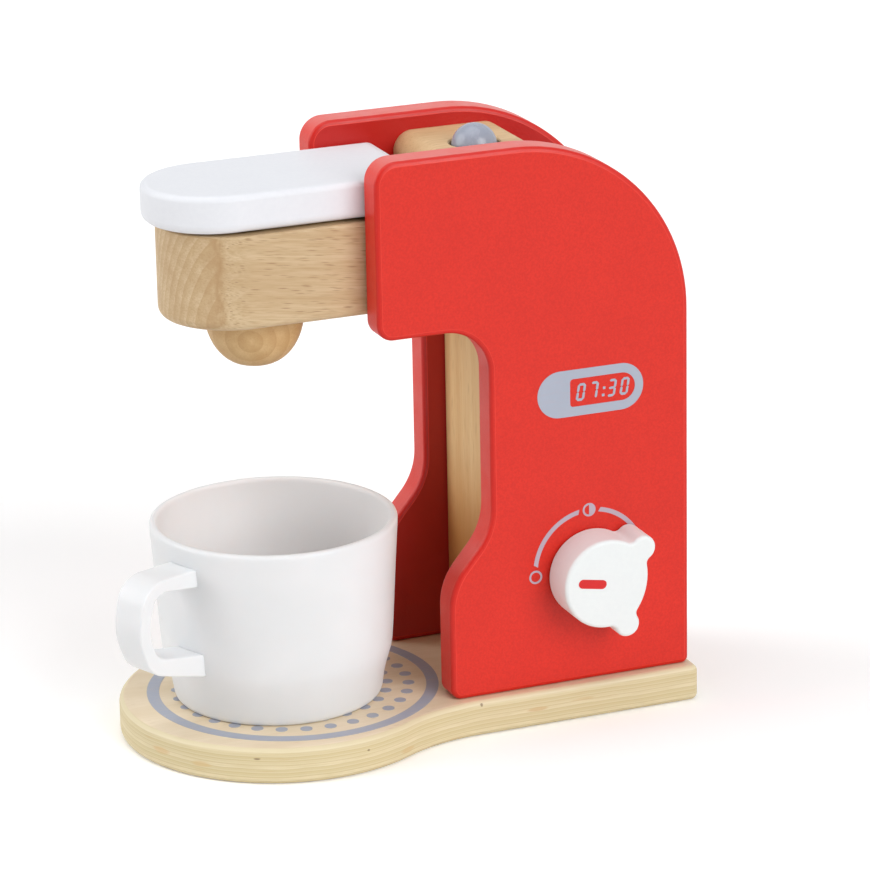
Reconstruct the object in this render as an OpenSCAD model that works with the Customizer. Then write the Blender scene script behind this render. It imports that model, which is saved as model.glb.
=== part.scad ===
// Toy coffee maker in painted board and beech, with a lidded brewing arm, a sprung
// button, a turning knob, a printed drip board and a loose plastic cup.
// Origin: centre of the base board's length and width, on its underside.
// X across the machine (knob side is +X), front faces -Y, Z up. Millimetres.

/* [Side panels] */
// Height of the top edge above the table
body_h = 179.2; // [175:0.2:190]
// Clear width between the two panels
inner_w = 44; // [42:1:46]
// Thickness of each panel
panel_t = 10; // [9:0.5:12]
// Rounding along every panel edge
panel_round = 1.5; // [0.5:0.1:2]
// Back edge, behind the origin
panel_back = 83.8; // [82:0.2:86]
// Front edge of the head, in front of the origin
head_front = 14.9; // [12:0.1:18]
// Height of the head below the top edge
head_h = 53.4; // [50:0.2:58]
// Front edge of the waist, behind the origin
waist_y = 19.8; // [17:0.1:22]
// Front edge of the foot, behind the origin
foot_y = 6; // [4:0.1:8]
// Radius of the big arc at the top of the back
back_arc_r = 55; // [50:1:65]
// Radius of the fillet between head and waist
head_fillet_r = 13.5; // [10:0.5:16]
// Radius of both bends where the waist flares into the foot
flare_r = 20; // [14:1:22]

/* [Base board] */
// Thickness of the plywood board
base_t = 11.2; // [10:0.2:14]
// Length from the front of the disc to the back edge
base_len = 171.6; // [168:0.2:178]
// Radius of the round end that carries the cup
disc_r = 49.3; // [47:0.2:54]
// Width of the straight tail under the panels
tail_w = 71; // [69:0.5:76]
// Radius of the hollow blend between disc and tail
blend_r = 50; // [30:1:60]
// Rounding along the board's edges
base_round = 2; // [0.5:0.1:3]

/* [Column and arm] */
// Front face of the column, behind the origin
column_y = 26.8; // [24:0.1:30]
// Depth of the column, front to back
column_d = 20; // [18:0.2:24]
// Drop of the arm's underside below the panels' top edge
arm_drop = 48; // [46:0.2:49]
// Height of the arm
arm_h = 28.6; // [26:0.2:29]
// Reach of the arm in front of the origin
arm_reach = 70; // [66:0.5:74]
// Rounding along the arm's lower edge
arm_round = 3.2; // [1:0.1:5]
// Radius of the pad recess in the arm's top
pad_r = 17; // [14:0.5:18]
// Depth of the pad recess
pad_depth = 12; // [8:1:14]
// Depth of the block behind the lid, front to back
block_d = 35; // [34:0.2:36]
// Height of the block above the arm
block_h = 14; // [12:0.2:15]
// Radius of the block's upper front and back edges
block_round = 6; // [3:0.5:7]
// Radius of the spout where it meets the arm
spout_r = 14.8; // [12:0.2:16]
// Drop of the spout below the arm
spout_drop = 16.2; // [14:0.2:20]
// Spout axis, in front of the origin
spout_y = 41.6; // [38:0.2:44]

/* [Lid] */
// Thickness of the lid
lid_t = 11.5; // [9:0.1:12]
// Gap between the lid and the arm below it
lid_gap = 0.7; // [0.4:0.1:1]
// Side clearance between the lid and each panel
lid_side_gap = 0.5; // [0.4:0.1:1]
// Reach of the lid in front of the origin
lid_reach = 74.2; // [68:0.2:78]
// Rounding along the lid's upper edge
lid_round = 2; // [0.5:0.1:2.5]
// Rounding along the lid's lower edge
lid_low_round = 3; // [0.5:0.1:3.5]
// Radius of the wooden hinge rod
rod_r = 2.5; // [2:0.25:3]
// How far the rod enters each panel
rod_in = 6; // [4:0.5:7]

/* [Button] */
// Button axis, behind the origin
button_y = 29; // [27:0.1:31]
// Radius of the dome
button_r = 6.9; // [6:0.1:7.2]
// Radius of the hole that the dome stands in
button_hole_r = 7.6; // [7.4:0.1:8.2]
// Travel of the button
button_travel = 5; // [3:0.5:5]
// Radius of the hidden flange that holds the button in
flange_r = 9.6; // [9.2:0.1:10]
// Wire thickness of the spring
spring_wire = 1; // [0.8:0.1:1.2]
// Number of turns in the spring
spring_turns = 7; // [5:1:8]

/* [Knob] */
// Radius of the round body
knob_r = 13.8; // [12:0.2:14]
// Thickness of the knob
knob_t = 12.4; // [10:0.2:14]
// Radius of each finger lobe
lobe_r = 3.9; // [3:0.1:4.5]
// Distance of the lobe centres from the knob's axis
lobe_reach = 15.2; // [14:0.1:16]
// Angle of each lobe from the middle line between them
lobe_turn = 52; // [45:1:60]
// Knob axis, behind the origin
knob_y = 51.4; // [50:0.1:53]
// Height of the knob's axis above the table
knob_z = 45.8; // [42:0.1:52]
// Angle of the middle line from level at rest
knob_tilt = -13; // [-20:1:0]
// Radius of the wooden axle
axle_r = 4; // [3:0.5:4.5]

/* [Prints] */
// Thickness of the printed layers
print_t = 0.1; // [0.05:0.05:0.2]
// Centre of the dots and ring on the disc, in front of the origin
dots_y = 33.2; // [32:0.1:37]
// Height of the display's centre above the table
display_z = 102.6; // [98:0.1:106]
// Four numbers shown on the display
display_digits = [0, 7, 3, 0];
// Radius of the dial's scale line
dial_r = 17.6; // [17:0.2:19]
// Height of the scale's centre above the knob's axis
dial_rise = 2; // [1:0.1:3]

/* [Cup] */
// Outer radius of the rim
cup_r = 37.1; // [34:0.1:38]
// Height of the cup
cup_h = 55.3; // [50:0.1:58]
// Wall thickness
cup_wall = 2.3; // [2:0.1:2.5]
// Cup axis, in front of the origin
cup_y = 37.7; // [36:0.1:40]
// Direction of the handle, turned from +X towards the front
handle_turn = 67; // [60:1:90]
// Width of the handle's strap
handle_w = 11.5; // [9:0.5:13]

/* [Fasteners] */
// Radius of the dowels in arm and column
dowel_r = 4; // [3:0.5:4]
// Radius of the base screws
screw_r = 2; // [1.5:0.25:2.25]

/* [Hidden] */
$fn = 64;

red = [0.86, 0.22, 0.18];
beech = [0.85, 0.71, 0.53];
ply = [0.90, 0.80, 0.62];
white = [0.94, 0.94, 0.95];
print_blue = [0.66, 0.68, 0.76];
steel = [0.72, 0.73, 0.75];

// Clearances
run_gap = 0.08;
bolt_gap = 0.1;

// Heights and faces that several pieces share
panel_x = inner_w / 2;
outer_x = panel_x + panel_t;
disc_y = -(base_len / 2 - disc_r);
head_z = body_h - head_h;
arm_z = body_h - arm_drop;
column_back = column_y + column_d;
column_mid = column_y + column_d / 2;
arm_top = arm_z + arm_h;
block_front = column_back - block_d;
block_top = arm_top + block_h;
lid_z = arm_top + lid_gap;
rod_y = 1.3;
rod_z = lid_z + lid_t / 2;
lid_half = panel_x - lid_side_gap;
pad_y = -(arm_reach - panel_x);
panel_mid = (waist_y + panel_back) / 2;

// Button and spring, stacked from the top face down
dome_z = block_top - 1.2;
flange_t = 2.5;
flange_top = block_top - 5;
flange_gap = 0.1;
spring_r = 5;
spring_bore_r = 5.8;
spring_seat = arm_top - 13;
spring_len = flange_top - flange_t - spring_seat;

// Knob stack along its axis, from the panel outwards and inwards
knob_gap = 0.6;
knob_x = outer_x + knob_gap;
knob_back_round = 0.3;
knob_front_round = 1.2;
axle_in = 8;
washer_gap = 0.3;
washer_t = 1.5;
washer_r = 6.4;
pocket_r = 6.8;
pocket_d = 4;
axle_end = panel_x + pocket_d - washer_gap;
axle_screw_r = 1.25;
axle_screw_len = 11;

// Dowels and screws
arm_dowels_at = [[6, arm_z + 14], [35, arm_z + 8]];
column_dowels_at = [[column_mid, 42], [column_mid, arm_z - 26]];
block_dowels_at = [[block_front + 5, arm_top + 6], [column_back - 5, arm_top + 6]];
dowel_panel = 6;
dowel_block = 14;
small_dowel_r = 2.5;
small_dowel_block = 8;
panel_mid_x = outer_x - panel_t / 2;
base_screws_at = [
  [panel_mid_x, 18], [panel_mid_x, 70], [-panel_mid_x, 18], [-panel_mid_x, 70], [0, column_mid]
];
screw_head_r = 4;
screw_head_t = 2.4;
screw_sink = 0.8;
screw_len = 32;
screw_point = 4;
tenon_r = 5;
tenon_len = 10;

// ---- Outlines made of arcs ----
// An arc is [centre x, centre y, radius, first angle, last angle]. Angles are those of the
// outward normal, and a negative radius is a hollow arc, so shrinking the outline by d turns
// every radius r into r - d and keeps every angle.

function arc_steps(k) = max(2, ceil(abs(k[4] - k[3]) / (abs(k[2]) > 12 ? 5 : 15)));

function all_points(arcs, d) = [
  for (k = arcs) let (n = arc_steps(k)) for (i = [0 : n])
    let (a = k[3] + (k[4] - k[3]) * i / n) [k[0] + (k[2] - d) * cos(a), k[1] + (k[2] - d) * sin(a)]
];

// Points of an outline shrunk by d, each shared end of two arcs named once
function arc_points(arcs, d = 0) =
  let (all = all_points(arcs, d), plain = all_points(arcs, 0), n = len(all))
    [for (i = [0 : n - 1]) if (norm(plain[i] - plain[(i + 1) % n]) > 0.01) all[i]];

function unit(v) = v / norm(v);

function turn_angle(u, v) = atan2(u[0] * v[1] - u[1] * v[0], u * v);

// Arc that rounds corner p1 of a path p0, p1, p2 walked counter-clockwise
function corner(p0, p1, p2, r) =
  let (
    u = unit(p1 - p0),
    turn = turn_angle(u, unit(p2 - p1)),
    side = sign(turn),
    normal = atan2(-u[0], u[1]),
    centre = p1 - u * r * tan(abs(turn) / 2) - side * r * [cos(normal), sin(normal)]
  ) [centre[0], centre[1], side * r, normal, normal + turn];

// Arcs of a closed path of [x, y, radius] corners
function rounded(path) = [
  for (i = [0 : len(path) - 1])
    let (
      before = path[(i + len(path) - 1) % len(path)],
      here = path[i],
      after = path[(i + 1) % len(path)]
    ) corner([before[0], before[1]], [here[0], here[1]], [after[0], after[1]], here[2])
];

module slab(arcs, t) {
  linear_extrude(t) polygon(arc_points(arcs));
}

// Ring around an outline that rounds the upper edge of a face at height zero
module edge_ring(arcs, r) {
  steps = 3;
  section = concat(
    [[-1, 1], [-1, -r]],
    [for (i = [0 : steps]) let (a = 90 * i / steps) [r * (1 - cos(a)), -r * (1 - sin(a))]],
    [[r, 1]]
  );
  n = len(arc_points(arcs));
  m = len(section);
  points = [for (k = section) for (p = arc_points(arcs, k[0])) [p[0], p[1], k[1]]];
  faces = [
    for (j = [0 : m - 1]) for (i = [0 : n - 1]) let (j2 = (j + 1) % m, i2 = (i + 1) % n)
      [j * n + i, j * n + i2, j2 * n + i2, j2 * n + i]
  ];
  polyhedron(points, faces, convexity = 8);
}

// Plate of thickness t on an outline of arcs, its lower and upper edges rounded
module plate(arcs, t, low, high) {
  difference() {
    slab(arcs, t);
    translate([0, 0, t]) edge_ring(arcs, high);
    mirror([0, 0, 1]) edge_ring(arcs, low);
  }
}

// Lays a flat outline in the Y-Z plane, its thickness along +X
module upright() {
  rotate([90, 0, 90]) children();
}

// Cylinder along X from x0 to x1, at y and z
module bar_x(x0, x1, y, z, r) {
  translate([min(x0, x1), y, z]) rotate([0, 90, 0]) cylinder(r = r, h = abs(x1 - x0));
}

module both_sides() {
  children();
  mirror([1, 0, 0]) children();
}

// ---- Base ----

function base_outline() =
  let (
    half = tail_w / 2,
    back = base_len / 2,
    rise = sqrt(pow(disc_r + blend_r, 2) - pow(half + blend_r, 2)),
    meet = atan2(rise, half + blend_r),
    tail_r = 2.6
  ) [
    [0, disc_y, disc_r, 180 - meet, 360 + meet],
    [half + blend_r, disc_y + rise, -blend_r, meet, 0],
    [half - tail_r, back - tail_r, tail_r, 0, 90],
    [-half + tail_r, back - tail_r, tail_r, 90, 180],
    [-half - blend_r, disc_y + rise, -blend_r, 180, 180 - meet]
  ];

module base_screw_hole() {
  translate([0, 0, -1]) cylinder(r = screw_r + bolt_gap, h = base_t + 2);
  translate([0, 0, screw_sink])
    cylinder(r1 = screw_head_r + bolt_gap, r2 = screw_r + bolt_gap, h = screw_head_t);
  translate([0, 0, -1]) cylinder(r = screw_head_r + bolt_gap, h = 1 + screw_sink);
}

module base_board() {
  color(ply) difference() {
    plate(base_outline(), base_t, base_round, base_round);
    for (p = base_screws_at) translate([p[0], p[1], 0]) base_screw_hole();
  }
}

// Countersunk screws with a cross cut in the head
module base_screws() {
  shank = screw_len - screw_point;
  color(steel) for (p = base_screws_at) translate([p[0], p[1], screw_sink]) difference() {
    union() {
      cylinder(r1 = screw_head_r, r2 = screw_r, h = screw_head_t);
      cylinder(r = screw_r, h = shank);
      translate([0, 0, shank]) cylinder(r1 = screw_r, r2 = 0.4, h = screw_point);
    }
    for (a = [0, 90]) rotate([0, 0, a]) translate([-2.3, -0.5, -1]) cube([4.6, 1, 2.4]);
  }
}

// ---- Side panels ----

function panel_outline() = rounded([
  [foot_y, base_t, 3.5],
  [panel_back, base_t, 2],
  [panel_back, body_h, back_arc_r],
  [-head_front, body_h, 7],
  [-head_front, head_z, 5],
  [waist_y, head_z, head_fillet_r],
  [waist_y, base_t + 51.8, flare_r],
  [foot_y, base_t + 35.3, flare_r]
]);

// Blind bores in a panel's inner face, on the +X side
module panel_bores() {
  for (p = concat(arm_dowels_at, column_dowels_at))
    bar_x(panel_x - 1, panel_x + dowel_panel, p[0], p[1], dowel_r);
  for (p = block_dowels_at) bar_x(panel_x - 1, panel_x + dowel_panel, p[0], p[1], small_dowel_r);
  bar_x(panel_x - 1, panel_x + rod_in + 0.3, rod_y, rod_z, rod_r + run_gap);
  for (p = base_screws_at) if (p[0] > 0)
    translate([p[0], p[1], base_t - 1]) cylinder(r = screw_r, h = screw_len + screw_sink - base_t + 1);
}

module panel_blank() {
  translate([panel_x, 0, 0]) upright() plate(panel_outline(), panel_t, panel_round, panel_round);
}

module left_side_panel() {
  color(red) mirror([1, 0, 0]) difference() {
    panel_blank();
    panel_bores();
  }
}

// The knob's washer and screw head turn in a pocket in the inner face
module right_side_panel() {
  color(red) difference() {
    panel_blank();
    panel_bores();
    bar_x(panel_x - 1, outer_x + 1, knob_y, knob_z, axle_r + run_gap);
    bar_x(panel_x - 1, panel_x + pocket_d, knob_y, knob_z, pocket_r);
  }
}

// ---- Column, arm and block ----

module rear_column() {
  color(beech) difference() {
    translate([-panel_x, column_y, base_t]) cube([inner_w, column_d, arm_z - base_t]);
    both_sides() for (p = column_dowels_at)
      bar_x(panel_x - dowel_block, panel_x + 1, p[0], p[1], dowel_r);
    translate([0, column_mid, base_t - 1])
      cylinder(r = screw_r, h = screw_len + screw_sink - base_t + 1);
  }
}

function arm_outline() = [
  [0, pad_y, panel_x, 180, 360],
  [panel_x - 4, column_back - 4, 4, 0, 90],
  [-panel_x + 4, column_back - 4, 4, 90, 180]
];

// Full-width bar with a round front; its back lies flush over the column
module brew_arm() {
  color(beech) difference() {
    union() {
      translate([0, 0, arm_z]) plate(arm_outline(), arm_h, arm_round, 0.8);
      translate([-panel_x, column_y, arm_z]) cube([inner_w, column_d, arm_h]);
    }
    translate([0, pad_y, arm_top - pad_depth]) cylinder(r = pad_r, h = pad_depth + 1);
    translate([0, -spout_y, arm_z - 1]) cylinder(r = tenon_r, h = tenon_len + 1.4);
    translate([0, button_y, spring_seat]) cylinder(r = spring_bore_r, h = arm_top - spring_seat + 1);
    both_sides() for (p = arm_dowels_at)
      bar_x(panel_x - dowel_block, panel_x + 1, p[0], p[1], dowel_r);
  }
}

module top_block() {
  color(beech) difference() {
    translate([-panel_x, 0, 0]) upright() slab(rounded([
      [block_front, arm_top, 0.5],
      [column_back, arm_top, 0.5],
      [column_back, block_top, block_round],
      [block_front, block_top, block_round]
    ]), inner_w);
    translate([0, button_y, arm_top - 1]) cylinder(r = button_hole_r, h = block_h + 2);
    translate([0, button_y, arm_top - 1])
      cylinder(r = flange_r + flange_gap, h = flange_top - arm_top + 1);
    both_sides() for (p = block_dowels_at)
      bar_x(panel_x - small_dowel_block, panel_x + 1, p[0], p[1], small_dowel_r);
  }
}

// Turned knob of beech under the arm, a flattened dome on a tenon
module spout() {
  flat_r = 3;
  dome_r = spout_r - flat_r;
  color(beech) translate([0, -spout_y, arm_z]) {
    cylinder(r = tenon_r, h = tenon_len);
    rotate_extrude() polygon(concat(
      [[0, 0], [0, -spout_drop]],
      [for (a = [-90 : 10 : 0]) [flat_r + dome_r * cos(a), spout_drop * sin(a)]]
    ));
  }
}

// Dowels across the joint between one inner face and the block beside it
module cross_dowels(places, r, depth) {
  both_sides() for (p = places) bar_x(panel_x - depth, panel_x + dowel_panel, p[0], p[1], r);
}

module column_dowels() {
  color(beech) cross_dowels(column_dowels_at, dowel_r, dowel_block);
}

module arm_dowels() {
  color(beech) cross_dowels(arm_dowels_at, dowel_r, dowel_block);
}

module block_dowels() {
  color(beech) cross_dowels(block_dowels_at, small_dowel_r, small_dowel_block);
}

// ---- Lid ----

// Round-fronted plate; its back edge is a half round about the hinge rod
module lid() {
  heel_r = lid_t / 2;
  front = -lid_reach;
  end_y = rod_y + heel_r + 1;
  corner_r = max(lid_round, lid_low_round) + 0.5;
  outline = [
    [0, front + lid_half, lid_half, 180, 360],
    [lid_half - corner_r, end_y - corner_r, corner_r, 0, 90],
    [-lid_half + corner_r, end_y - corner_r, corner_r, 90, 180]
  ];
  side_view = [[rod_y, rod_z, heel_r, -90, 90], [front - 1, rod_z, heel_r, 90, 270]];
  color(white) difference() {
    intersection() {
      translate([0, 0, lid_z]) plate(outline, lid_t, lid_low_round, lid_round);
      translate([-panel_x, 0, 0]) upright() slab(side_view, inner_w);
    }
    bar_x(-lid_half - 1, lid_half + 1, rod_y, rod_z, rod_r);
  }
}

module lid_hinge_rod() {
  color(beech) bar_x(-panel_x - rod_in, panel_x + rod_in, rod_y, rod_z, rod_r);
}

// ---- Button ----

module button() {
  color(print_blue) translate([0, button_y, 0]) rotate_extrude() polygon(concat(
    [[0, flange_top - flange_t], [flange_r, flange_top - flange_t], [flange_r, flange_top]],
    [[button_r, flange_top]],
    [for (a = [0 : 7.5 : 90]) [button_r * cos(a), dome_z + button_r * sin(a)]]
  ));
}

// Round wire wound between two heights
module button_spring() {
  sides = 8;
  steps = spring_turns * 14;
  low = spring_seat + spring_wire / 2;
  rise = spring_len - spring_wire;
  wire_r = spring_wire / 2 - 0.02;
  coil_r = spring_r - wire_r;
  points = [
    for (i = [0 : steps]) for (j = [0 : sides - 1])
      let (a = 360 * spring_turns * i / steps, b = 360 * j / sides, r = coil_r + wire_r * cos(b))
        [r * cos(a), r * sin(a), low + rise * i / steps + wire_r * sin(b)]
  ];
  walls = [
    for (i = [0 : steps - 1]) for (j = [0 : sides - 1])
      [i * sides + j, i * sides + (j + 1) % sides, (i + 1) * sides + (j + 1) % sides, (i + 1) * sides + j]
  ];
  ends = [[for (j = [sides - 1 : -1 : 0]) j], [for (j = [0 : sides - 1]) steps * sides + j]];
  color(steel) translate([0, button_y, 0]) polyhedron(points, concat(walls, ends), convexity = 10);
}

// ---- Knob ----

// Arcs of one lobe at angle m and the stretch of body after it
function knob_lobe(m, fillet_r, spread, stretch) =
  let (
    far = knob_r + fillet_r,
    lobe = lobe_reach * [cos(m), sin(m)],
    before = far * [cos(m - spread), sin(m - spread)],
    after = far * [cos(m + spread), sin(m + spread)],
    first = atan2(before[1] - lobe[1], before[0] - lobe[0]),
    last = atan2(after[1] - lobe[1], after[0] - lobe[0]),
    sweep = (last - first + 720) % 360
  ) [
    [before[0], before[1], -fillet_r, m - spread, first + ((m - spread - first > 180) ? 360 : 0)],
    [lobe[0], lobe[1], lobe_r, first, first + sweep],
    [after[0], after[1], -fillet_r, first + sweep, m + spread],
    [0, 0, knob_r, m + spread, m + spread + stretch]
  ];

// Round body with two finger lobes, blended by hollow fillets
function knob_outline() =
  let (
    fillet_r = 2.2,
    far = knob_r + fillet_r,
    near = lobe_r + fillet_r,
    spread = acos((far * far + lobe_reach * lobe_reach - near * near) / (2 * far * lobe_reach)),
    between = 2 * (lobe_turn - spread)
  ) concat(
    knob_lobe(-lobe_turn, fillet_r, spread, between),
    knob_lobe(lobe_turn, fillet_r, spread, 360 - between - 4 * spread)
  );

// Places the knob's own frame on the panel, thickness along +X
module on_knob_axis(x) {
  translate([x, knob_y, knob_z]) upright() rotate([0, 0, knob_tilt]) children();
}

module knob() {
  color(white) difference() {
    on_knob_axis(knob_x) plate(knob_outline(), knob_t, knob_back_round, knob_front_round);
    bar_x(knob_x - 1, knob_x + axle_in, knob_y, knob_z, axle_r);
  }
}

module knob_axle() {
  color(beech) difference() {
    bar_x(axle_end, knob_x + axle_in, knob_y, knob_z, axle_r);
    bar_x(axle_end - 1, axle_end + axle_screw_len + 1, knob_y, knob_z, axle_screw_r);
  }
}

module knob_washer() {
  color(steel) difference() {
    bar_x(axle_end - washer_t, axle_end, knob_y, knob_z, washer_r);
    bar_x(axle_end - washer_t - 1, axle_end + 1, knob_y, knob_z, axle_screw_r + 0.35);
  }
}

module knob_screw() {
  head_t = 1.8;
  head = axle_end - washer_t;
  color(steel) difference() {
    union() {
      bar_x(head, axle_end + axle_screw_len, knob_y, knob_z, axle_screw_r);
      bar_x(head - head_t, head, knob_y, knob_z, 2.8);
    }
    translate([head - head_t - 1, knob_y - 0.4, knob_z - 1.8]) cube([2, 0.8, 3.6]);
    translate([head - head_t - 1, knob_y - 1.8, knob_z - 0.4]) cube([2, 3.6, 0.8]);
  }
}

// Pointer from near the rim to the middle of the knob's face
module knob_mark() {
  mark_r = 1.4;
  mark_turn = 3.4;
  ends = [-8.3, -2];
  color(red) on_knob_axis(knob_x + knob_t) rotate([0, 0, mark_turn]) linear_extrude(print_t) {
    translate([ends[0], -mark_r]) square([ends[1] - ends[0], 2 * mark_r]);
    for (x = ends) translate([x, 0]) circle(r = mark_r);
  }
}

// ---- Prints ----

// Open ring around five rows of dots, each row as [radius, number of dots]
module drip_print() {
  ring_r = 44.1;
  ring_w = 3.7;
  dot_r = 1.8;
  row_turn = -1.5;
  color(print_blue) translate([0, -dots_y, base_t]) linear_extrude(print_t) {
    difference() {
      circle(r = ring_r);
      circle(r = ring_r - ring_w);
    }
    for (row = [[35, 30], [28.5, 24], [22, 18], [15.5, 12], [9, 6]])
      for (i = [0 : row[1] - 1]) rotate([0, 0, 360 * i / row[1] + row_turn])
        translate([row[0], 0]) circle(r = dot_r, $fn = 24);
  }
}

// Bars of a seven-segment figure, lit for each of the figures 0 to 9: top, upper right,
// lower right, bottom, lower left, upper left, middle
lit = [
  [1, 1, 1, 1, 1, 1, 0], [0, 1, 1, 0, 0, 0, 0], [1, 1, 0, 1, 1, 0, 1], [1, 1, 1, 1, 0, 0, 1],
  [0, 1, 1, 0, 0, 1, 1], [1, 0, 1, 1, 0, 1, 1], [1, 0, 1, 1, 1, 1, 1], [1, 1, 1, 0, 0, 0, 0],
  [1, 1, 1, 1, 1, 1, 1], [1, 1, 1, 1, 0, 1, 1]
];
figure_w = 2.7;
figure_h = 5.4;
bar_w = 0.75;
slant = 0.17;

// A bar from a to b with pointed ends, slanted with its height
module slanted_bar(a, b) {
  along = unit(b - a) * (bar_w * 0.5);
  across = [-along[1], along[0]];
  corners = [
    a - along * 0.1, a + along * 0.9 + across, b - along * 0.9 + across,
    b + along * 0.1, b - along * 0.9 - across, a + along * 0.9 - across
  ];
  polygon([for (p = corners) [p[0] + slant * p[1], p[1]]]);
}

module figure(n) {
  ends = [
    [[0, 2], [1, 2]], [[1, 1], [1, 2]], [[1, 0], [1, 1]], [[0, 0], [1, 0]],
    [[0, 0], [0, 1]], [[0, 1], [0, 2]], [[0, 1], [1, 1]]
  ];
  reach = [figure_w - bar_w, (figure_h - bar_w) / 2];
  for (i = [0 : 6]) if (lit[n][i] == 1)
    slanted_bar(
      [ends[i][0][0] * reach[0], ends[i][0][1] * reach[1]] + [bar_w, bar_w] / 2,
      [ends[i][1][0] * reach[0], ends[i][1][1] * reach[1]] + [bar_w, bar_w] / 2
    );
}

// Capsule with an open window; the four figures stand in the window
module display_print() {
  case_w = 34.2;
  case_h = 14.4;
  window_w = 21;
  window_h = 8.6;
  window_x = -6.6;
  window_corner = 1;
  pitch = 4.15;
  first_x = window_x + 1.7;
  colon_w = 0.8;
  color(print_blue) translate([outer_x, panel_mid, display_z]) upright() linear_extrude(print_t) {
    difference() {
      hull() for (s = [-1, 1]) translate([s * (case_w - case_h) / 2, 0]) circle(r = case_h / 2);
      hull() {
        translate([window_x + window_w - window_h / 2, 0]) circle(r = window_h / 2);
        for (s = [-1, 1]) translate([window_x + window_corner, s * (window_h / 2 - window_corner)])
          circle(r = window_corner);
      }
    }
    for (i = [0 : 3]) translate([first_x + pitch * i + (i > 1 ? 1.7 : 0), -figure_h / 2])
      figure(display_digits[i]);
    for (s = [-1, 1]) translate([first_x + 2 * pitch + 0.85 + slant * s, s * 1.1 - 0.8])
      square(colon_w, center = true);
  }
}

// Scale line over the knob, from an open dot past a half dot to a full dot
module dial_print() {
  dot_r = 2.1;
  dot_line = 0.6;
  line_w = 1.4;
  open_at = 184;
  half_at = 90;
  full_at = 20;
  gap = 10;
  color(print_blue)
    translate([outer_x, knob_y - 0.4, knob_z + dial_rise]) upright() linear_extrude(print_t) {
      for (span = [[full_at + gap, half_at - gap], [half_at + gap, open_at - gap]]) polygon(concat(
        [for (a = [span[0] : 4 : span[1]]) (dial_r + line_w / 2) * [cos(a), sin(a)]],
        [for (a = [span[1] : -4 : span[0]]) (dial_r - line_w / 2) * [cos(a), sin(a)]]
      ));
      rotate(full_at) translate([dial_r, 0]) circle(r = dot_r);
      for (a = [half_at, open_at]) rotate(a) translate([dial_r, 0]) difference() {
        circle(r = dot_r);
        circle(r = dot_r - dot_line);
      }
      rotate(half_at) translate([dial_r, 0]) intersection() {
        circle(r = dot_r - dot_line / 2);
        translate([-dot_r, -dot_r]) square([2 * dot_r, dot_r]);
      }
    }
}

// ---- Cup ----

// Half section of the cup as [radius, height]: foot recess, outside, rim, inside
function cup_section() =
  let (inner_r = cup_r - cup_wall) [
    [0, 1.6], [28.4, 1.4], [28.8, 0], [30.4, 0], [31.2, 0.5], [31.6, 2.7], [32.1, 5.9], [32.9, 9.1],
    [33.7, 12], [34.3, 14], [34.7, 16.2],
    [cup_r, cup_h - 0.9], [cup_r - 0.3, cup_h - 0.3], [cup_r - 0.9, cup_h],
    [inner_r + 0.6, cup_h], [inner_r, cup_h - 0.6],
    [34.7 - cup_wall, 16.2], [33.5 - cup_wall, 12], [32.5 - cup_wall, 9], [31.4 - cup_wall, 6.6],
    [29 - cup_wall, 4.8], [0, 4.2]
  ];

// Side view of the handle as [radius, height, corner]; both roots end inside the wall
function handle_path() = rounded([
  [33.2, 14.6, 0.2], [54.6, 20.9, 9], [59.4, 33, 18], [56, 49.4, 9], [35, 49, 0.2],
  [35, 43.3, 0.2], [51.8, 45.9, 5], [54.9, 34.9, 14], [52.3, 25.4, 6], [33.2, 21.7, 0.2]
]);

module cup() {
  color(white) translate([0, -cup_y, base_t + print_t]) {
    rotate_extrude() polygon(cup_section());
    rotate([90, 0, -handle_turn]) translate([0, 0, -handle_w / 2]) slab(handle_path(), handle_w);
  }
}

base_board();
left_side_panel();
right_side_panel();
rear_column();
brew_arm();
top_block();
spout();
lid();
lid_hinge_rod();
button();
button_spring();
knob();
knob_axle();
knob_washer();
knob_screw();
base_screws();
column_dowels();
arm_dowels();
block_dowels();
cup();
drip_print();
display_print();
dial_print();
knob_mark();
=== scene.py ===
import math

import bmesh
import bpy
from mathutils import Matrix, Vector


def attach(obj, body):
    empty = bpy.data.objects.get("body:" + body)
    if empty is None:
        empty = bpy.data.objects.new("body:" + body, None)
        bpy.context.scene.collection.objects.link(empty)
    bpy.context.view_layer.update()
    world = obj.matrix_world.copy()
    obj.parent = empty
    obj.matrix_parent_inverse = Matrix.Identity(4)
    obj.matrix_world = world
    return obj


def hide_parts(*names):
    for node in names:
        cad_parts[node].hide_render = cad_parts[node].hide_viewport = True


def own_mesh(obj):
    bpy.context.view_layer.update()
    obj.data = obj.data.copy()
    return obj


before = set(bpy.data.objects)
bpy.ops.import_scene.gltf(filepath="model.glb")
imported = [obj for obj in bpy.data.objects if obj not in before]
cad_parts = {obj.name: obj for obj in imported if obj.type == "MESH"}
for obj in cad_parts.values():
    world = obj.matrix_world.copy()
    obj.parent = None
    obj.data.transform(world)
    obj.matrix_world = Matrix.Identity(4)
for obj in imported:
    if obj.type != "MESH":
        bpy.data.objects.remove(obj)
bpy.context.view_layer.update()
print("frame loaded:", len(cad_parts), "nodes")

mm = 0.001  # sizes below are in millimetres, the scene is in metres


# Node helpers

# Linear light of a screen colour's value from 0 to 255
def linear(value):
    value /= 255
    return value / 12.92 if value <= 0.04045 else ((value + 0.055) / 1.055) ** 2.4


def tint(red, green, blue):
    return (linear(red), linear(green), linear(blue), 1)


# Adds a node and links or sets its inputs
def addNode(tree, kind, inputs=None, **settings):
    node = tree.nodes.new("ShaderNode" + kind)
    for key, value in settings.items():
        setattr(node, key, value)
    for key, value in (inputs or {}).items():
        if isinstance(value, bpy.types.NodeSocket):
            tree.links.new(value, node.inputs[key])
        else:
            node.inputs[key].default_value = value
    return node


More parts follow.
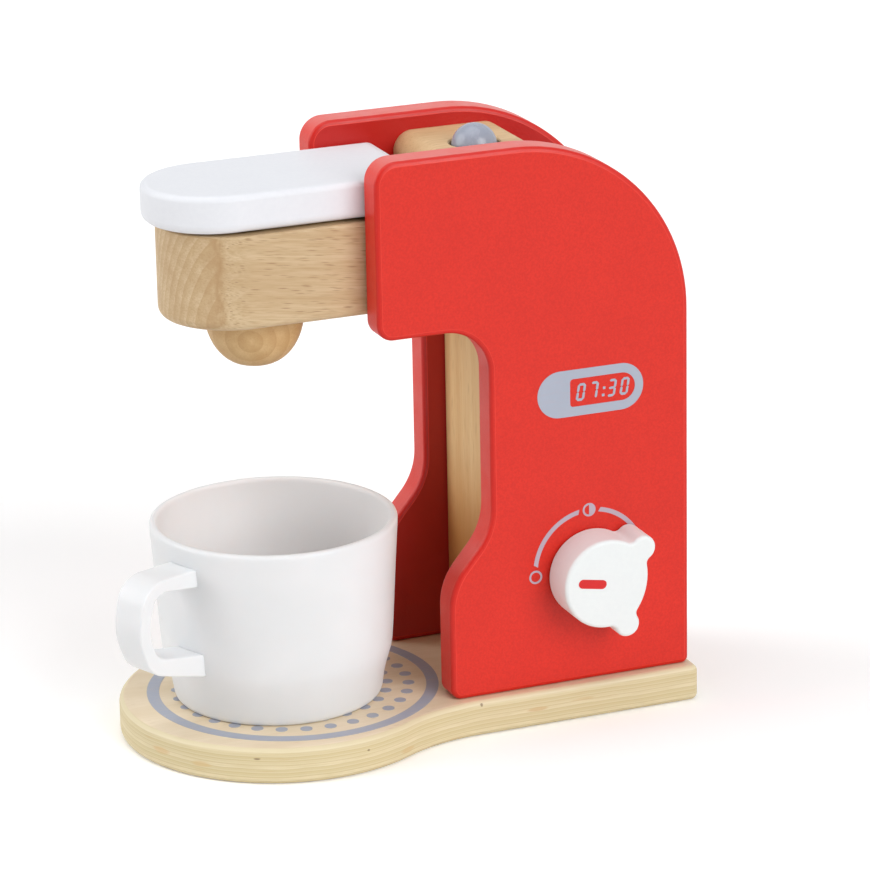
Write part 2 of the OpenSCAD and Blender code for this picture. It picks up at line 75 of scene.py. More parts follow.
# New material with its node tree, its shader and the place on the object
def newMaterial(name, roughness, specular=0.5):
    material = bpy.data.materials.new(name)
    material.use_nodes = True
    tree = material.node_tree
    shader = tree.nodes["Principled BSDF"]
    shader.inputs["Roughness"].default_value = roughness
    shader.inputs["Specular IOR Level"].default_value = specular
    place = addNode(tree, "TexCoord").outputs["Object"]
    return material, tree, shader, place


# Moves the place by a location in mm, then turns it by degrees and scales it
def mapped(tree, place, location=(0, 0, 0), scale=(1, 1, 1), turn=(0, 0, 0)):
    shift = [-part * mm for part in location]
    centred = addNode(tree, "Mapping", {"Vector": place, "Location": shift})
    angles = [math.radians(angle) for angle in turn]
    placed = addNode(tree, "Mapping", {"Vector": centred.outputs[0], "Rotation": angles, "Scale": scale})
    return placed.outputs[0]


def noise(tree, vector, size, detail=2.0, rough=0.5):
    inputs = {"Vector": vector, "Scale": 1 / (size * mm), "Detail": detail, "Roughness": rough}
    return addNode(tree, "TexNoise", inputs).outputs["Fac"]


# Distance to the nearest of many scattered points
def cells(tree, vector, size):
    inputs = {"Vector": vector, "Scale": 1 / (size * mm)}
    return addNode(tree, "TexVoronoi", inputs, feature="F1").outputs["Distance"]


# Stretches the range from low to high over another one, and stops at its ends
def spread(tree, value, low, high, outLow=0.0, outHigh=1.0):
    inputs = {"Value": value, 1: low, 2: high, 3: outLow, 4: outHigh}
    return addNode(tree, "MapRange", inputs).outputs[0]


# One step of arithmetic on values, and below on vectors
def sums(tree, operation, first, second=0):
    return addNode(tree, "Math", {0: first, 1: second}, operation=operation).outputs[0]


def times(tree, first, second):
    return sums(tree, "MULTIPLY", first, second)


def vectorSums(tree, operation, first, second=(0, 0, 0)):
    outputs = addNode(tree, "VectorMath", {0: first, 1: second}, operation=operation).outputs
    return outputs["Value" if operation in ("LENGTH", "DOT_PRODUCT") else "Vector"]


# Outputs X, Y and Z of a vector
def axes(tree, vector):
    return addNode(tree, "SeparateXYZ", {0: vector}).outputs


def surfaceNormal(tree):
    return addNode(tree, "NewGeometry").outputs["Normal"]


def blendColour(tree, amount, first, second):
    inputs = {0: amount, 6: first, 7: second}
    return addNode(tree, "Mix", inputs, data_type="RGBA").outputs[2]


def bumpTo(tree, shader, height, distance):
    inputs = {"Height": height, "Distance": distance * mm}
    tree.links.new(addNode(tree, "Bump", inputs).outputs[0], shader.inputs["Normal"])


def link(tree, output, shader, socket):
    tree.links.new(output, shader.inputs[socket])


# Finishes

paintGrain = {"cloud": 14, "patch": 6, "swell": 4, "wear": 3}  # sizes of the paint's unevenness


# Painted light on the routed edges: a painted sheen on the edge faces, paler where they face up, painted
# shade where the rounding turns and a painted highlight along the lip; the inner faces get painted shade too
def shadeEdges(tree, place, colour, edges):
    normal = axes(tree, surfaceNormal(tree))
    parts = axes(tree, place)
    facing = sums(tree, "ABSOLUTE", normal["X"])
    # painted shade on the inner faces between the panels, with a greyer tint low down
    between = [-side * mm for side in edges["between"]]
    inside = spread(tree, times(tree, normal["X"], parts["X"]), *between, 1, 0)
    level = spread(tree, parts["Z"], *[height * mm for height in edges["levels"]])
    paintedInsideShade = blendColour(tree, level, tint(*edges["insideLow"]), tint(*edges["inside"]))
    colour = blendColour(tree, inside, colour, paintedInsideShade)

    wear = sums(tree, "SUBTRACT", noise(tree, place, paintGrain["wear"], 2), 0.5)
    wear = times(tree, times(tree, wear, 0.5), sums(tree, "SUBTRACT", 1.0, facing))
    facing = sums(tree, "ADD", facing, wear)
    # painted sheen on the edge faces, paler on those facing up
    paintedEdgeSheen = spread(tree, facing, 0.1, 0.35, 1, 0)
    above = spread(tree, normal["Z"], 0.5, 0.95, 0, 0.5)
    # painted shade on the rounding, where it turns towards the face
    turning = times(tree, spread(tree, facing, 0.08, 0.42), spread(tree, facing, 0.93, 0.97, 1, 0))
    # painted highlight along the fine lip round each face
    rim = times(tree, spread(tree, facing, 0.95, 0.975), spread(tree, facing, 0.99, 0.997, 1, 0))
    shares = {
        "paintedEdgeSheen": times(tree, paintedEdgeSheen, 0.4), "above": times(tree, paintedEdgeSheen, above),
        "turning": times(tree, turning, 0.9), "rim": times(tree, rim, 0.8)
    }
    for key, share in shares.items():
        colour = blendColour(tree, share, colour, tint(*edges[key]))
    return colour


# Sprayed paint: a little uneven in colour, with fine orange peel
def sprayedPaint(name, paint):
    rough, deep = paint["roughness"], tint(*paint["deep"])
    material, tree, shader, place = newMaterial(name, rough, paint.get("specular", 0.35))
    fine = noise(tree, place, paint["peelSize"], 2)
    cloud = spread(tree, noise(tree, place, paintGrain["cloud"], 3), 0.35, 0.65, 0, 0.15)
    colour = blendColour(tree, cloud, tint(*paint["colour"]), deep)
    colour = blendColour(tree, spread(tree, fine, 0.35, 0.65, 0, 0.5), colour, deep)
    if paint.get("edges"):
        colour = shadeEdges(tree, place, colour, paint["edges"])
    link(tree, colour, shader, "Base Color")
    patchy = spread(tree, noise(tree, place, paintGrain["patch"], 3), 0.3, 0.7, rough - 0.05, rough + 0.06)
    link(tree, patchy, shader, "Roughness")
    swell = times(tree, noise(tree, place, paintGrain["swell"], 1), 0.6)
    bumpTo(tree, shader, sums(tree, "ADD", fine, swell), paint["peel"])
    return material


# Turn, in degrees, that lays a direction along x
def turnFrom(direction):
    turn = Vector(direction).rotation_difference(Vector((1, 0, 0))).to_euler()
    return [math.degrees(angle) for angle in turn]


# Beech cut from one block: growth rings round a line along the grain, streaks and dark flecks
def beechWood(name, finish):
    rough, deep, ends = finish.get("roughness", 0.5), tint(*finish["deep"]), finish.get("ends")
    material, tree, shader, place = newMaterial(name, rough, 0.4)
    grain = mapped(tree, place, finish["centre"], turn=turnFrom(finish["along"]))  # it now runs along x
    wobble = vectorSums(tree, "MULTIPLY", grain, (0.15, 1, 1))
    rings = addNode(tree, "TexWave", {
        "Vector": wobble, "Scale": math.tau / (20 * finish["ring"] * mm),
        "Distortion": finish.get("wander", 2.2), "Detail": 2, "Detail Scale": 0.35, "Detail Roughness": 0.55
    }, wave_type="RINGS", rings_direction="X", wave_profile="SAW").outputs["Fac"]
    streak = vectorSums(tree, "MULTIPLY", grain, (0.05, 1, 1))
    fine = noise(tree, streak, 0.5, 4, 0.6)
    broad = noise(tree, streak, 4.5, 2)
    contrast = finish.get("contrast", 1.0)
    if ends:
        # the rings show more on the end grain
        endOn = sums(tree, "ABSOLUTE", axes(tree, surfaceNormal(tree))["Y"])
        contrast = spread(tree, endOn, 0.42, 0.52, contrast, ends)
    band = times(tree, spread(tree, rings, 0.15, 1.0), contrast)
    colour = blendColour(tree, band, tint(*finish["pale"]), tint(*finish["dark"]))
    colour = blendColour(tree, spread(tree, broad, 0.35, 0.7, 0, 0.5), colour, deep)
    colour = blendColour(tree, spread(tree, fine, 0.4, 0.7, 0, finish.get("streaks", 0.4)), colour, deep)

    stretched = vectorSums(tree, "MULTIPLY", grain, (0.1, 1, 1.1))
    near = spread(tree, cells(tree, stretched, finish.get("fleckSize", 0.8)), 0.1, 0.34, 1, 0)
    some = spread(tree, noise(tree, streak, 1.6, 2), 0.34, 0.56, 0.15, 1.0)
    fleck = times(tree, times(tree, near, some), finish.get("flecks", 0.5))
    if ends:
        fleck = times(tree, fleck, spread(tree, endOn, 0.4, 0.5, 1, 0.15))
        # painted shade: a dark band where the rounded front turns into the flat side
        paintedBendShade = times(tree, spread(tree, endOn, 0.38, 0.46), spread(tree, endOn, 0.5, 0.68, 1, 0))
        ragged = noise(tree, mapped(tree, grain, scale=(1, 1, 0.4)), 1.2, 3)
        paintedBendShade = times(tree, paintedBendShade, spread(tree, ragged, 0.3, 0.7, 0.35, 1.0))
        colour = blendColour(tree, paintedBendShade, colour, deep)
    colour = blendColour(tree, fleck, colour, tint(*finish["fleckColour"]))
    if finish.get("paintedSeamShadow"):
        # painted shadow in the gap where the wood meets the panels
        paintedSeamShadow = finish["paintedSeamShadow"]
        across = sums(tree, "ABSOLUTE", axes(tree, place)["X"])
        paintedGapShadow = spread(tree, across, (paintedSeamShadow["side"] - 0.7) * mm, (paintedSeamShadow["side"] - 0.1) * mm, 0, 0.75)
        colour = blendColour(tree, paintedGapShadow, colour, tint(*paintedSeamShadow["colour"]))
    if finish.get("foot"):
        # painted shade: the wood is drawn warmer and darker towards its foot, where the panels shade it and
        # bounce red light onto it
        foot = finish["foot"]
        level = spread(tree, axes(tree, place)["Z"], foot["low"] * mm, foot["high"] * mm, 1, 0)
        colour = blendColour(tree, level, colour, tint(*foot["colour"]))
    link(tree, colour, shader, "Base Color")
    link(tree, spread(tree, fine, 0.3, 0.7, rough - 0.05, rough + 0.08), shader, "Roughness")
    height = sums(tree, "SUBTRACT", times(tree, fine, 0.5), times(tree, fleck, 0.7))
    bumpTo(tree, shader, height, 0.03)
    return material


# Birch plywood: one face veneer above and below, the glued plies showing along the edge
plywood = {
    "face": (232, 215, 188), "faceDeep": (220, 200, 168), "faceFleck": (176, 142, 104),
    "longPly": (226, 212, 176), "crossPly": (212, 196, 152), "glueLine": (190, 166, 120),
    "paleLine": (228, 216, 184), "blotch": (204, 174, 122), "thickness": 11.2, "plies": 9, "roughness": 0.48,
    "flaws": [
        {"place": (43.7, -60.5, 8.2), "half": (1.2, 1.2, 0.35), "weight": 0.8, "colour": (120, 92, 60)},
        {"place": (48.2, -27.4, 7.4), "half": (0.5, 0.6, 0.4), "weight": 0.8, "colour": (120, 92, 60)},
        {"place": (35.5, 14.0, 10.2), "half": (0.6, 0.5, 0.7), "weight": 0.8, "colour": (120, 92, 60)},
        {"place": (20.4, -82.6, 5.8), "half": (5, 2.5, 1.2), "weight": 0.5, "colour": (214, 176, 118)},
        {"place": (33, -74.3, 4.9), "half": (4, 3, 1), "weight": 0.5, "colour": (214, 180, 122)},
        {"place": (42.8, -13.2, 3.2), "half": (3, 3, 1), "weight": 0.5, "colour": (208, 174, 120)},
        {"place": (35.5, 32.2, 5.8), "half": (2, 3.4, 0.7), "weight": 0.6, "colour": (204, 170, 118)}
    ]
}


# Face veneer, its grain along y
def veneerFace(tree, place, fine, streak):
    p = plywood
    deep = tint(*p["faceDeep"])
    broad = noise(tree, mapped(tree, place, scale=(1, 0.25, 1)), 9, 3)
    face = blendColour(tree, spread(tree, broad, 0.35, 0.7), tint(*p["face"]), deep)
    face = blendColour(tree, spread(tree, fine, 0.45, 0.75, 0, 0.5), face, deep)
    spots = cells(tree, mapped(tree, place, scale=(1, 0.22, 1)), 1.2)
    some = spread(tree, noise(tree, streak, 3, 2), 0.5, 0.66)
    fleck = times(tree, spread(tree, spots, 0.08, 0.22, 0.35, 0), some)
    return blendColour(tree, fleck, face, tint(*p["faceFleck"]))


# Small gaps and stains in single plies
def flawedEdge(tree, place, runs, edge):
    for flaw in plywood["flaws"]:
        size = [1 / (side * mm) for side in flaw["half"]]
        apart = vectorSums(tree, "SUBTRACT", place, Vector(flaw["place"]) * mm)
        apart = vectorSums(tree, "LENGTH", vectorSums(tree, "MULTIPLY", apart, size))
        apart = sums(tree, "ADD", apart, sums(tree, "SUBTRACT", runs, 0.5))
        share = spread(tree, apart, 0.7, 1.1, flaw["weight"], 0)
        edge = blendColour(tree, share, edge, tint(*flaw["colour"]))
    return edge


def plywoodBoard(name):
    p = plywood
    rough, thickness, cross = p["roughness"], p["thickness"], tint(*p["crossPly"])
    material, tree, shader, place = newMaterial(name, rough)
    streak = mapped(tree, place, scale=(1, 0.06, 1))
    fine = noise(tree, streak, 0.6, 4, 0.6)
    face = veneerFace(tree, place, fine, streak)

    # plies by height, each with its own shade, the borders slightly wavy
    wave = times(tree, sums(tree, "SUBTRACT", noise(tree, place, 22, 2), 0.5), 1.1 * mm)
    height = axes(tree, place)["Z"]
    ply = times(tree, sums(tree, "ADD", height, wave), p["plies"] / (thickness * mm))
    part = sums(tree, "FRACT", ply)
    number = sums(tree, "FLOOR", ply)
    shade = addNode(tree, "TexWhiteNoise", {"W": number}, noise_dimensions="1D").outputs["Value"]
    runs = noise(tree, mapped(tree, place, scale=(0.04, 0.04, 1)), 0.34, 4, 0.65)
    edge = blendColour(tree, spread(tree, shade, 0.1, 0.9), tint(*p["longPly"]), cross)
    edge = blendColour(tree, spread(tree, runs, 0.38, 0.62, 0, 0.75), edge, cross)
    line = sums(tree, "ABSOLUTE", sums(tree, "SUBTRACT", part, 0.5))
    line = spread(tree, line, 0.43, 0.5, 0, 0.8)
    edge = blendColour(tree, line, edge, tint(*p["glueLine"]))
    pale = sums(tree, "ABSOLUTE", sums(tree, "SUBTRACT", part, 0.32))
    edge = blendColour(tree, spread(tree, pale, 0.0, 0.14, 0.5, 0), edge, tint(*p["paleLine"]))
    top = spread(tree, height, (thickness - 1.5) * mm, (thickness - 1.1) * mm, 0, 0.55)
    edge = blendColour(tree, top, edge, tint(*p["paleLine"]))
    blotch = noise(tree, mapped(tree, place, scale=(0.1, 0.1, 1)), 1.9, 2)
    edge = blendColour(tree, spread(tree, blotch, 0.66, 0.74, 0, 0.45), edge, tint(*p["blotch"]))
    edge = flawedEdge(tree, place, runs, edge)

    upright = sums(tree, "ABSOLUTE", axes(tree, surfaceNormal(tree))["Z"])
    link(tree, blendColour(tree, spread(tree, upright, 0.93, 0.97), edge, face), shader, "Base Color")
    link(tree, spread(tree, fine, 0.3, 0.7, rough - 0.05, rough + 0.08), shader, "Roughness")
    relief = sums(tree, "SUBTRACT", times(tree, runs, 0.6), times(tree, line, 0.5))
    bumpTo(tree, shader, sums(tree, "ADD", relief, times(tree, fine, 0.3)), 0.04)
    return material


# Screen print: a thin, slightly uneven film of ink
def printedInk(name, ink, worn, wear):
    material, tree, shader, place = newMaterial(name, 0.5)
    film = noise(tree, mapped(tree, place, scale=(1, 0.15, 1)), 0.7, 3)
    cloud = spread(tree, noise(tree, place, 8, 2), 0.35, 0.7, 0, 0.4)
    colour = blendColour(tree, cloud, tint(*ink), tint(*[part - 8 for part in ink]))
    colour = blendColour(tree, spread(tree, film, 0.4, 0.75, 0, wear), colour, tint(*worn))
    link(tree, colour, shader, "Base Color")
    bumpTo(tree, shader, noise(tree, place, 0.3, 2), 0.006)
    return material


# Moulded plastic: even colour, satin skin with faint flow marks
def mouldedPlastic(name, plastic):
    rough = plastic["roughness"]
    material, tree, shader, place = newMaterial(name, rough, 0.4)
    shader.inputs["Subsurface Weight"].default_value = plastic["glow"]  # thin walls let light through
    shader.inputs["Subsurface Radius"].default_value = (1, 0.85, 0.8)
    shader.inputs["Subsurface Scale"].default_value = 3 * mm
    cloud = spread(tree, noise(tree, place, 22, 2), 0.35, 0.65)
    colour = blendColour(tree, cloud, tint(*plastic["colour"]), tint(*plastic["shade"]))
    # painted light: the inside, where it faces the cup's axis, is drawn a little paler
    level = vectorSums(tree, "SUBTRACT", place, Vector(plastic["axis"]) * mm)
    level = vectorSums(tree, "MULTIPLY", level, (1, 1, 0))
    outward = vectorSums(tree, "DOT_PRODUCT", level, surfaceNormal(tree))
    inside = spread(tree, outward, -24 * mm, -6 * mm, 1, 0)
    link(tree, blendColour(tree, inside, colour, tint(*plastic["inside"])), shader, "Base Color")
    flow = noise(tree, mapped(tree, place, scale=(1, 1, 0.3)), 7, 2)
    link(tree, spread(tree, flow, 0.3, 0.7, rough - 0.04, rough + 0.05), shader, "Roughness")
    bumpTo(tree, shader, sums(tree, "ADD", noise(tree, place, 0.5, 2), times(tree, flow, 2)), 0.006)
    return material


def drawnSteel(name):
    material, tree, shader, place = newMaterial(name, 0.32)
    shader.inputs["Metallic"].default_value = 1.0
    scratch = noise(tree, mapped(tree, place, scale=(1, 1, 0.2)), 0.3, 3)
    link(tree, blendColour(tree, scratch, tint(206, 208, 212), tint(168, 171, 178)), shader, "Base Color")
    link(tree, spread(tree, scratch, 0.3, 0.7, 0.25, 0.42), shader, "Roughness")
    bumpTo(tree, shader, scratch, 0.01)
    return material


redPaint = sprayedPaint("redPaint", {
    "colour": (221, 40, 22), "deep": (199, 27, 14), "roughness": 0.4, "specular": 0.4,
    "peel": 0.045, "peelSize": 0.62,
    "edges": {
        # the tints for the inner faces are painted shade; on the routed edges the two pale tints are painted
        # sheen, the deep one painted shade and the last a painted highlight along the lip
        "inside": (190, 19, 9), "insideLow": (182, 45, 38), "paintedEdgeSheen": (230, 62, 48), "above": (226, 132, 126),
        "turning": (204, 25, 11), "rim": (231, 60, 46),
        "between": (14, 4), "levels": (60, 150)  # reach of the inner faces, heights between the two tints
    }
})
lidPaint = sprayedPaint("lidPaint", {
    "colour": (231, 233, 238), "deep": (227, 229, 235), "roughness": 0.48, "specular": 0.4,
    "peel": 0.004, "peelSize": 1.4
})
knobPaint = sprayedPaint("knobPaint", {
    "colour": (234, 239, 239), "deep": (230, 235, 236), "roughness": 0.46, "peel": 0.004, "peelSize": 1.2
})
markPaint = sprayedPaint("markPaint", {
    "colour": (214, 38, 38), "deep": (206, 32, 32), "roughness": 0.42, "peel": 0.003, "peelSize": 0.5
})
buttonPaint = sprayedPaint("buttonPaint", {
    "colour": (152, 159, 175), "deep": (149, 156, 172), "roughness": 0.24, "specular": 0.5,
    "peel": 0.001, "peelSize": 0.8
})
# the inside tint is painted light, paler than the outside
cupPlastic = mouldedPlastic("cupPlastic", {
    "colour": (231, 232, 234), "shade": (227, 229, 231), "inside": (237, 236, 236), "axis": (0, -37.7, 0),
    "roughness": 0.46, "glow": 0.3
})
boardInk = printedInk("boardInk", (160, 166, 182), (186, 176, 168), 0.45)
panelInk = printedInk("panelInk", (168, 176, 192), (180, 166, 178), 0.25)
dialInk = printedInk("dialInk", (186, 170, 184), (196, 162, 174), 0.25)
steel = drawnSteel("drawnSteel")

armBeech = beechWood("armBeech", {
    "along": (0, 1, -0.13), "centre": (85, 0, 112), "ring": 2.4, "wander": 2.2, "contrast": 0.2, "ends": 0.75,
    "pale": (213, 190, 153), "dark": (192, 160, 117), "deep": (180, 146, 104), "streaks": 0.6,
    "fleckColour": (150, 112, 76), "flecks": 0.75, "fleckSize": 0.6
})
# the dark line at the column's sides is a painted shadow in the gap at the panels, its darker foot painted
# shade
columnBeech = beechWood("columnBeech", {
    "along": (0, 0, 1), "centre": (50, 90, 0), "ring": 9, "contrast": 0.3,
    "pale": (236, 204, 150), "dark": (228, 190, 132), "deep": (216, 170, 112), "streaks": 0.28,
    "fleckColour": (168, 120, 72), "flecks": 0.4, "paintedSeamShadow": {"side": 22, "colour": (74, 46, 26)},
    "foot": {"low": 46, "high": 78, "colour": (206, 150, 86)}
})
blockBeech = beechWood("blockBeech", {
    "along": (0, 1, 0), "centre": (-10, 0, 230), "ring": 4, "contrast": 0.5,
    "pale": (218, 186, 142), "dark": (206, 170, 124), "deep": (190, 152, 106),
    "fleckColour": (160, 116, 76), "flecks": 0.5
})
spoutBeech = beechWood("spoutBeech", {
    "along": (0.88, -0.35, -0.2), "centre": (0, -42.5, 128), "ring": 3.8, "wander": 1.0, "contrast": 0.8,
    "pale": (208, 176, 128), "dark": (190, 154, 104), "deep": (184, 144, 92),
    "fleckColour": (160, 116, 76), "flecks": 0.2
})
dowelBeech = beechWood("dowelBeech", {
    "along": (1, 0, 0), "centre": (0, 0, 0), "ring": 5, "contrast": 0.4,
    "pale": (228, 196, 146), "dark": (214, 178, 128), "deep": (200, 160, 110),
    "fleckColour": (160, 116, 76), "flecks": 0.4
})
boardPly = plywoodBoard("boardPly")
print("finishes made:", len(bpy.data.materials))


# Shape helpers

# Arcs [centre, radius, first angle, turn] that round the corners (a, b, radius) of a closed path
def roundedCorners(path):
    arcs = []
    for i, (a, b, radius) in enumerate(path):
        before = Vector(path[i - 1][:2])
        here = Vector((a, b))
        after = Vector(path[(i + 1) % len(path)][:2])
        inward = (here - before).normalized()
        outward = (after - here).normalized()
        turn = math.atan2(inward.x * outward.y - inward.y * outward.x, inward.dot(outward))
        side = math.copysign(1, turn)
        normal = Vector((inward.y, -inward.x))
        centre = here - inward * radius * math.tan(abs(turn) / 2) - side * radius * normal
        arcs.append((centre.x, centre.y, side * radius, math.atan2(normal.y, normal.x), turn))
    return arcs


# Flat face in the XY plane, its outline spun arc by arc
def outlineFace(arcs, step=4):
    bm = bmesh.new()
    ends = []
    for a, b, radius, first, turn in arcs:
        start = bm.verts.new((a + radius * math.cos(first), b + radius * math.sin(first), 0))
        steps = max(3, round(abs(math.degrees(turn)) / step))
        spun = bmesh.ops.spin(bm, geom=[start], cent=(a, b, 0), axis=(0, 0, 1), dvec=(0, 0, 0),
                              angle=turn, steps=steps, space=Matrix.Identity(4), use_duplicate=False)
        last = [part for part in spun["geom_last"] if isinstance(part, bmesh.types.BMVert)][0]
        ends.append((start, last))
    for i, (start, last) in enumerate(ends):
        bm.edges.new((last, ends[(i + 1) % len(ends)][0]))
    bmesh.ops.remove_doubles(bm, verts=bm.verts, dist=0.02)
    face = bmesh.ops.edgeloop_fill(bm, edges=bm.edges)["faces"][0]
    if face.normal.z < 0:
        face.normal_flip()
    return bm


# Gives a flat face its thickness and rounds the loops of its lower and upper face
def thicken(bm, thickness, low, high, segments=5):
    face = bm.faces[:][0]
    grown = bmesh.ops.extrude_face_region(bm, geom=[face])
    verts = [part for part in grown["geom"] if isinstance(part, bmesh.types.BMVert)]
    bmesh.ops.translate(bm, verts=verts, vec=(0, 0, thickness))
    bmesh.ops.recalc_face_normals(bm, faces=bm.faces)
    for level, radius in ((0, low), (thickness, high)):
        if radius > 0:
            loop = [e for e in bm.edges if all(abs(v.co.z - level) < 1e-4 for v in e.verts)]
            bmesh.ops.bevel(bm, geom=loop, offset=radius, offset_type="OFFSET", segments=segments,
                            profile=0.5, affect="EDGES", material=-1, clamp_overlap=False)
    return bm


def moveAll(bm, matrix):
    bmesh.ops.transform(bm, matrix=matrix, verts=bm.verts)
    return bm


# Lays a flat shape upright in the YZ plane, its thickness along +X
uprightTurn = Matrix(((0, 0, 1, 0), (1, 0, 0, 0), (0, 1, 0, 0), (0, 0, 0, 1)))


# Closed body turned from a half section of (radius, height) points
def turned(section, steps=96):
    bm = bmesh.new()
    verts = [bm.verts.new((r, 0, z)) for r, z in section]
    edges = [bm.edges.new(pair) for pair in zip(verts, verts[1:])]
    bmesh.ops.spin(bm, geom=verts + edges, cent=(0, 0, 0), axis=(0, 0, 1), dvec=(0, 0, 0),
                   angle=math.tau, steps=steps, space=Matrix.Identity(4), use_merge=True, use_duplicate=False)
    bmesh.ops.remove_doubles(bm, verts=bm.verts, dist=0.001)
    bmesh.ops.recalc_face_normals(bm, faces=bm.faces)
    return bm


# Box between two corners, its edges rounded where a radius is given
def roundBox(low, high, radius=0):
    bm = bmesh.new()
    bmesh.ops.create_cube(bm, size=1)
    low, high = Vector(low), Vector(high)
    bmesh.ops.scale(bm, verts=bm.verts, vec=high - low)
    bmesh.ops.translate(bm, verts=bm.verts, vec=(low + high) / 2)
    if radius > 0:
        bmesh.ops.bevel(bm, geom=bm.edges[:], offset=radius, offset_type="OFFSET", segments=3,
                        profile=0.5, affect="EDGES", material=-1)
    return bm


quarterTurn = [math.radians(6 * i) for i in range(16)]  # angles along a dome's half section


# Round bar centred on a point, its length along the axis
def rod(centre, axis, radius, length):
    bm = bmesh.new()
    bmesh.ops.create_cone(bm, cap_ends=True, segments=48, radius1=radius, radius2=radius, depth=length)
    turn = Vector((0, 0, 1)).rotation_difference(Vector(axis)).to_matrix().to_4x4()
    return moveAll(bm, Matrix.Translation(centre) @ turn)


# Mesh in metres from a shape in millimetres
def toMesh(name, bm):
    mesh = bpy.data.meshes.new(name)
    bmesh.ops.scale(bm, verts=bm.verts, vec=(mm, mm, mm))
    bm.to_mesh(mesh)
    bm.free()
    return mesh


# Cuts, or keeps the overlap with, other closed shapes
def carve(name, bm, cutters, operation="DIFFERENCE"):
    piece = bpy.data.objects.new(name, toMesh(name, bm))
    bpy.context.scene.collection.objects.link(piece)
    helpers = []
    for cutter in cutters:
        helper = bpy.data.objects.new(name + "Cutter", toMesh("cutter", cutter))
        bpy.context.scene.collection.objects.link(helper)
        helpers.append(helper)
        modifier = piece.modifiers.new("cut", "BOOLEAN")
        modifier.operation = operation
        modifier.solver = "EXACT"
        modifier.object = helper
    graph = bpy.context.evaluated_depsgraph_get()
    result = bpy.data.meshes.new_from_object(piece.evaluated_get(graph))
    for thing in [piece] + helpers:
        bpy.data.objects.remove(thing)
    done = bmesh.new()
    done.from_mesh(result)
    bpy.data.meshes.remove(result)
    bmesh.ops.scale(done, verts=done.verts, vec=(1 / mm,) * 3)
    bmesh.ops.remove_doubles(done, verts=done.verts, dist=0.002)
    return done


# Makes the finished piece, rides it on its body and hides the node it stands for
def finishPiece(name, bm, body, nodes, material, sharp=32):
    piece = bpy.data.objects.new(name, toMesh(name, bm))
    bpy.context.scene.collection.objects.link(piece)
    piece.data.shade_smooth()
    piece.data.set_sharp_from_angle(angle=math.radians(sharp))
    modifier = piece.modifiers.new("faces", "WEIGHTED_NORMAL")
    modifier.keep_sharp = True
    modifier.weight = 100
    piece.data.materials.append(material)
    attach(piece, body)
    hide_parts(*nodes)
    return piece


# Base board

baseSizes = {
    "thickness": 11.2, "length": 171.6, "discRadius": 49.3, "tailWidth": 71, "blendRadius": 50,
    "rounding": 2, "cornerRadius": 2.6,
    "screwSink": 0.8, "screwHead": 4.1, "screwHole": 2.1, "headDepth": 2.4, "pilotDepth": 0.5,
    "screws": [(27, 18), (27, 70), (-27, 18), (-27, 70), (0, 36.8)]
}


def makeBase():
    s = baseSizes
    half, back, r, blend = s["tailWidth"] / 2, s["length"] / 2, s["discRadius"], s["blendRadius"]
    middle = -(back - r)
    rise = math.sqrt((r + blend) ** 2 - (half + blend) ** 2)
    meet = math.atan2(rise, half + blend)
    corner = s["cornerRadius"]
    arcs = [
        (0, middle, r, math.pi - meet, math.pi + 2 * meet),
        (half + blend, middle + rise, -blend, meet, -meet),
        (half - corner, back - corner, corner, 0, math.pi / 2),
        (-half + corner, back - corner, corner, math.pi / 2, math.pi / 2),
        (-half - blend, middle + rise, -blend, math.pi, -meet)
    ]
    board = thicken(outlineFace(arcs, 2.5), s["thickness"], s["rounding"], s["rounding"], 6)
    # cutter for a countersunk screw, from a millimetre below the board
    head, hole, deep = s["screwHead"], s["screwHole"], s["screwSink"] + s["headDepth"]
    end = deep + s["pilotDepth"]
    section = [(0, -1), (head, -1), (head, s["screwSink"]), (hole, deep), (hole, end), (0, end)]
    cutters = [moveAll(turned(section, 32), Matrix.Translation((x, y, 0))) for x, y in s["screws"]]
    board = carve("base", board, cutters)
    finishPiece("baseBoard", board, "frame", ["base_board"], boardPly)


# Side panels

panelSizes = {
    "inner": 22, "thickness": 10, "rounding": 1.5, "lip": 0.2, "lipWidth": 0.4,
    "corners": [  # along the machine, height, radius
        (6, 11.2, 3.5), (83.8, 11.2, 2), (83.8, 179.2, 55), (-14.9, 179.2, 7),
        (-14.9, 125.8, 5), (19.8, 125.8, 13.5), (19.8, 63, 20), (6, 46.5, 20)
    ],
    "pocket": {"along": 51.4, "height": 45.8, "radius": 6.8, "depth": 4}  # for the knob's washer
}


# The routed edge stops a little below the face, which leaves a fine lip round each face
def panelBlank():
    s = panelSizes
    lip = s["lip"]
    bm = outlineFace(roundedCorners(s["corners"]), 3)
    thicken(bm, s["thickness"] - 2 * lip, s["rounding"] - lip, s["rounding"] - lip, 5)
    flats = sorted(bm.faces, key=lambda face: face.calc_area())[-2:]
    for face in flats:
        bmesh.ops.inset_region(bm, faces=[face], thickness=s["lipWidth"], depth=lip, use_even_offset=True)
    bmesh.ops.translate(bm, verts=bm.verts, vec=(0, 0, lip))
    return moveAll(bm, Matrix.Translation((s["inner"], 0, 0)) @ uprightTurn)


def makePanels():
    left = panelBlank()
    bmesh.ops.scale(left, verts=left.verts, vec=(-1, 1, 1))
    bmesh.ops.reverse_faces(left, faces=left.faces)
    finishPiece("leftPanel", left, "frame", ["left_side_panel"], redPaint)
    pocket = panelSizes["pocket"]
    centre = (panelSizes["inner"] + pocket["depth"] / 2 - 1, pocket["along"], pocket["height"])
    cutter = rod(centre, (1, 0, 0), pocket["radius"], pocket["depth"] + 2)
    right = carve("right", panelBlank(), [cutter])
    finishPiece("rightPanel", right, "frame", ["right_side_panel"], redPaint)


# Column, arm, block and spout

